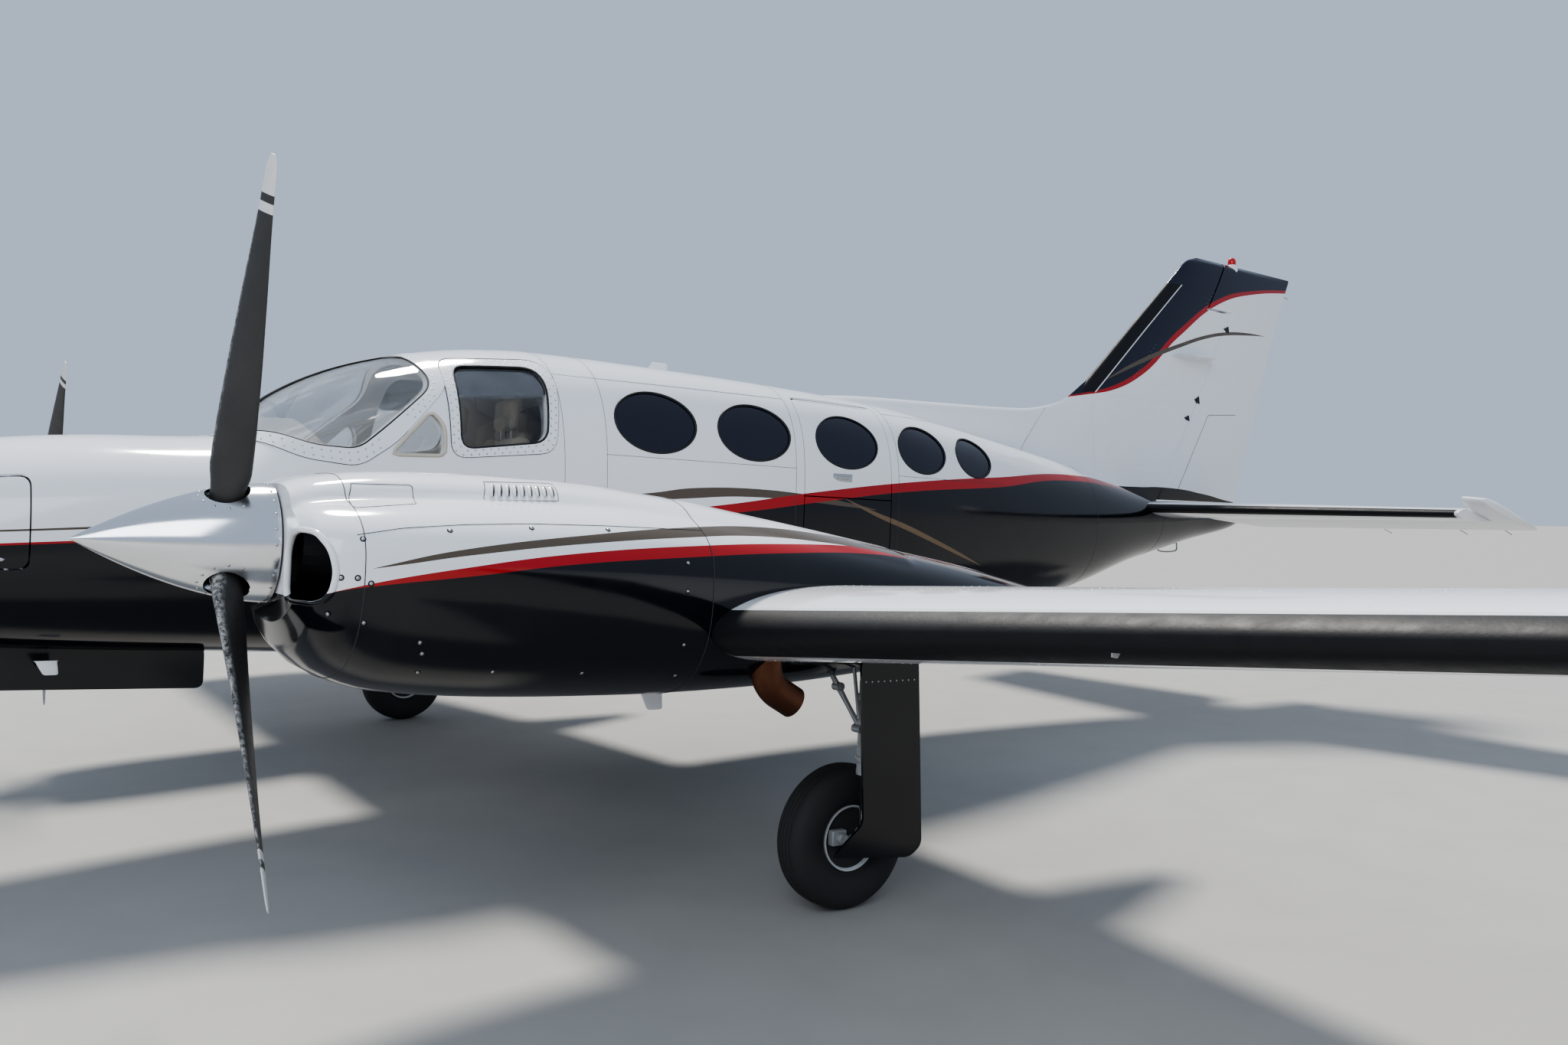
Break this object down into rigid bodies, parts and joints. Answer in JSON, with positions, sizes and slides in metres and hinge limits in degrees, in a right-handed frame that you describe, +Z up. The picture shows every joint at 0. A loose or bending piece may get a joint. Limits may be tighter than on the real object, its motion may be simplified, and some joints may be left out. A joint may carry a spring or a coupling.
{
  "type": "twin-engined light aircraft",
  "caption": "Low-wing pressurised twin piston-engined light aircraft, parked on a tricycle landing gear, with an air-stair cabin door.",
  "frame": {"origin": "on the ground under the middle of the parked aircraft's bounding box", "axes": "+X to port along the wing, +Y aft, +Z up from level ground; the fuselage sits 2.7 degrees nose up on its gear"},
  "size_m": [12.53, 11.2028, 3.5589],
  "materials": {
    "white_paint": "gloss paint on aluminium skin",
    "black_paint": "gloss paint on aluminium skin",
    "tinted_glass": "dark tinted acrylic",
    "clear_glass": "clear",
    "seat_leather": "soft leather",
    "cabin_trim": "moulded trim and carpet",
    "floor_panel": "carpet over a floor panel",
    "polished_metal": "polished",
    "propeller_blade": "matte paint",
    "gear_steel": "painted and plated",
    "wheel_paint": "painted casting",
    "exhaust_metal": "heat-tinted",
    "engine_casting": "rough casting",
    "tyre_rubber": "matte rubber"
  },
  "bodies": {
    "airframe": {"cabin_floor": "floor_panel", "cabin_seats_port": "seat_leather", "cabin_seats_starboard": "seat_leather", "cabin_shell": "white_paint", "cabin_windows_port_front": "tinted_glass", "cabin_windows_port_rear": "tinted_glass", "cabin_windows_starboard": "tinted_glass", "cowl_port": "white_paint", "cowl_starboard": "white_paint", "crew_seat_port": "seat_leather", "crew_seat_starboard": "seat_leather", "crew_windows_port": "tinted_glass", "crew_windows_starboard": "tinted_glass", "engine_port": "engine_casting", "engine_starboard": "engine_casting", "exhaust_port": "exhaust_metal", "exhaust_starboard": "exhaust_metal", "fin": "white_paint", "instrument_panel": "cabin_trim", "leg_door_port": "black_paint", "leg_door_starboard": "black_paint", "main_leg_port": "gear_steel", "main_leg_starboard": "gear_steel", "nacelle_port": "black_paint", "nacelle_starboard": "black_paint", "nose_body": "white_paint", "nose_gear_door_port": "black_paint", "nose_gear_door_starboard": "black_paint", "nose_leg": "gear_steel", "stabilizer": "white_paint", "tail_cone": "black_paint", "windshield_port": "clear_glass", "windshield_starboard": "clear_glass", "wing_port": "white_paint", "wing_starboard": "white_paint"},
    "cabin_door_upper": {"cabin_door_upper": "white_paint", "cabin_door_window": "tinted_glass"},
    "cabin_door_lower": {"cabin_door_lower": "black_paint"},
    "elevator": {"elevator": "black_paint"},
    "rudder": {"rudder": "white_paint"},
    "nose_fork": {"nose_fork": "gear_steel"},
    "nose_wheel": {"nose_tyre": "tyre_rubber", "nose_rim": "wheel_paint"},
    "baggage_door_port": {"baggage_door_port": "white_paint"},
    "aileron_port": {"aileron_port": "white_paint"},
    "flap_inner_port": {"flap_inner_port": "white_paint"},
    "flap_outer_port": {"flap_outer_port": "white_paint"},
    "propeller_port": {"propeller_port": "propeller_blade", "spinner_port": "polished_metal"},
    "main_wheel_port": {"main_tyre_port": "tyre_rubber", "main_rim_port": "wheel_paint"},
    "baggage_door_starboard": {"baggage_door_starboard": "white_paint"},
    "aileron_starboard": {"aileron_starboard": "white_paint"},
    "flap_inner_starboard": {"flap_inner_starboard": "white_paint"},
    "flap_outer_starboard": {"flap_outer_starboard": "white_paint"},
    "propeller_starboard": {"propeller_starboard": "propeller_blade", "spinner_starboard": "polished_metal"},
    "main_wheel_starboard": {"main_tyre_starboard": "tyre_rubber", "main_rim_starboard": "wheel_paint"}
  },
  "joints": [
    {"name": "cabin_door_upper_hinge", "type": "hinge", "parent": "airframe", "child": "cabin_door_upper", "pos_m": [0.52539, 0.1573, 2.127], "axis": [0.1064, -0.9932, 0.0474], "range_deg": [0, 95]},
    {"name": "cabin_door_lower_hinge", "type": "hinge", "parent": "airframe", "child": "cabin_door_lower", "pos_m": [0.67486, 0.10529, 1.03624], "axis": [-0.0476, 0.9977, -0.0476], "range_deg": [0, 125]},
    {"name": "baggage_door_port_hinge", "type": "hinge", "parent": "airframe", "child": "baggage_door_port", "pos_m": [0.41104, -4.13976, 1.66114], "axis": [-0.2145, -0.9747, -0.0635], "range_deg": [0, 95]},
    {"name": "baggage_door_starboard_hinge", "type": "hinge", "parent": "airframe", "child": "baggage_door_starboard", "pos_m": [-0.41104, -4.13976, 1.66114], "axis": [-0.2145, 0.9747, 0.0635], "range_deg": [0, 95]},
    {"name": "aileron_port_hinge", "type": "hinge", "parent": "airframe", "child": "aileron_port", "pos_m": [5.105, -1.02617, 1.29741], "axis": [0.9938, -0.0762, 0.0812], "range_deg": [-20, 20]},
    {"name": "aileron_starboard_hinge", "type": "hinge", "parent": "airframe", "child": "aileron_starboard", "pos_m": [-5.105, -1.02617, 1.29741], "axis": [0.9938, 0.0762, -0.0812], "range_deg": [-20, 20]},
    {"name": "flap_inner_port_hinge", "type": "hinge", "parent": "airframe", "child": "flap_inner_port", "pos_m": [1.41, -0.82785, 0.92187], "axis": [-0.996, 0.0205, -0.0869], "range_deg": [0, 45]},
    {"name": "flap_outer_port_hinge", "type": "hinge", "parent": "airframe", "child": "flap_outer_port", "pos_m": [3.6, -0.93754, 1.12029], "axis": [-0.9931, 0.0727, -0.0922], "range_deg": [0, 45]},
    {"name": "flap_inner_starboard_hinge", "type": "hinge", "parent": "airframe", "child": "flap_inner_starboard", "pos_m": [-1.41, -0.82785, 0.92187], "axis": [-0.996, -0.0205, 0.0869], "range_deg": [0, 45]},
    {"name": "flap_outer_starboard_hinge", "type": "hinge", "parent": "airframe", "child": "flap_outer_starboard", "pos_m": [-3.6, -0.93754, 1.12029], "axis": [-0.9931, -0.0727, 0.0922], "range_deg": [0, 45]},
    {"name": "elevator_hinge", "type": "hinge", "parent": "airframe", "child": "elevator", "pos_m": [0, 4.07515, 1.46364], "axis": [1, 0, 0], "range_deg": [0, 38]},
    {"name": "rudder_hinge", "type": "hinge", "parent": "airframe", "child": "rudder", "pos_m": [0, 4.21039, 2.28814], "axis": [0, 0.5251, 0.8511], "range_deg": [-25, 25]},
    {"name": "propeller_port_spin", "type": "hinge", "parent": "airframe", "child": "propeller_port", "pos_m": [2.371, -3.55315, 1.47098], "axis": [0, -0.9989, 0.0476], "continuous": true},
    {"name": "propeller_starboard_spin", "type": "hinge", "parent": "airframe", "child": "propeller_starboard", "pos_m": [-2.371, -3.55315, 1.47098], "axis": [0, -0.9989, 0.0476], "continuous": true},
    {"name": "main_wheel_port_spin", "type": "hinge", "parent": "airframe", "child": "main_wheel_port", "pos_m": [2.527, -1.33539, 0.2795], "axis": [1, 0, 0], "continuous": true},
    {"name": "main_wheel_starboard_spin", "type": "hinge", "parent": "airframe", "child": "main_wheel_starboard", "pos_m": [-2.527, -1.33539, 0.2795], "axis": [1, 0, 0], "continuous": true},
    {"name": "nose_steering", "type": "hinge", "parent": "airframe", "child": "nose_fork", "pos_m": [0, -4.53706, 0.52378], "axis": [0, 0.0476, 0.9989], "range_deg": [-45, 45]},
    {"name": "nose_wheel_spin", "type": "hinge", "parent": "nose_fork", "child": "nose_wheel", "pos_m": [0, -4.51738, 0.2225], "axis": [1, 0, 0], "continuous": true}
  ],
  "couplings": [
    {"joint": "aileron_starboard_hinge", "follows": "aileron_port_hinge", "ratio": -1},
    {"joint": "flap_outer_port_hinge", "follows": "flap_inner_port_hinge", "ratio": 1},
    {"joint": "flap_inner_starboard_hinge", "follows": "flap_inner_port_hinge", "ratio": 1},
    {"joint": "flap_outer_starboard_hinge", "follows": "flap_inner_port_hinge", "ratio": 1}
  ]
}
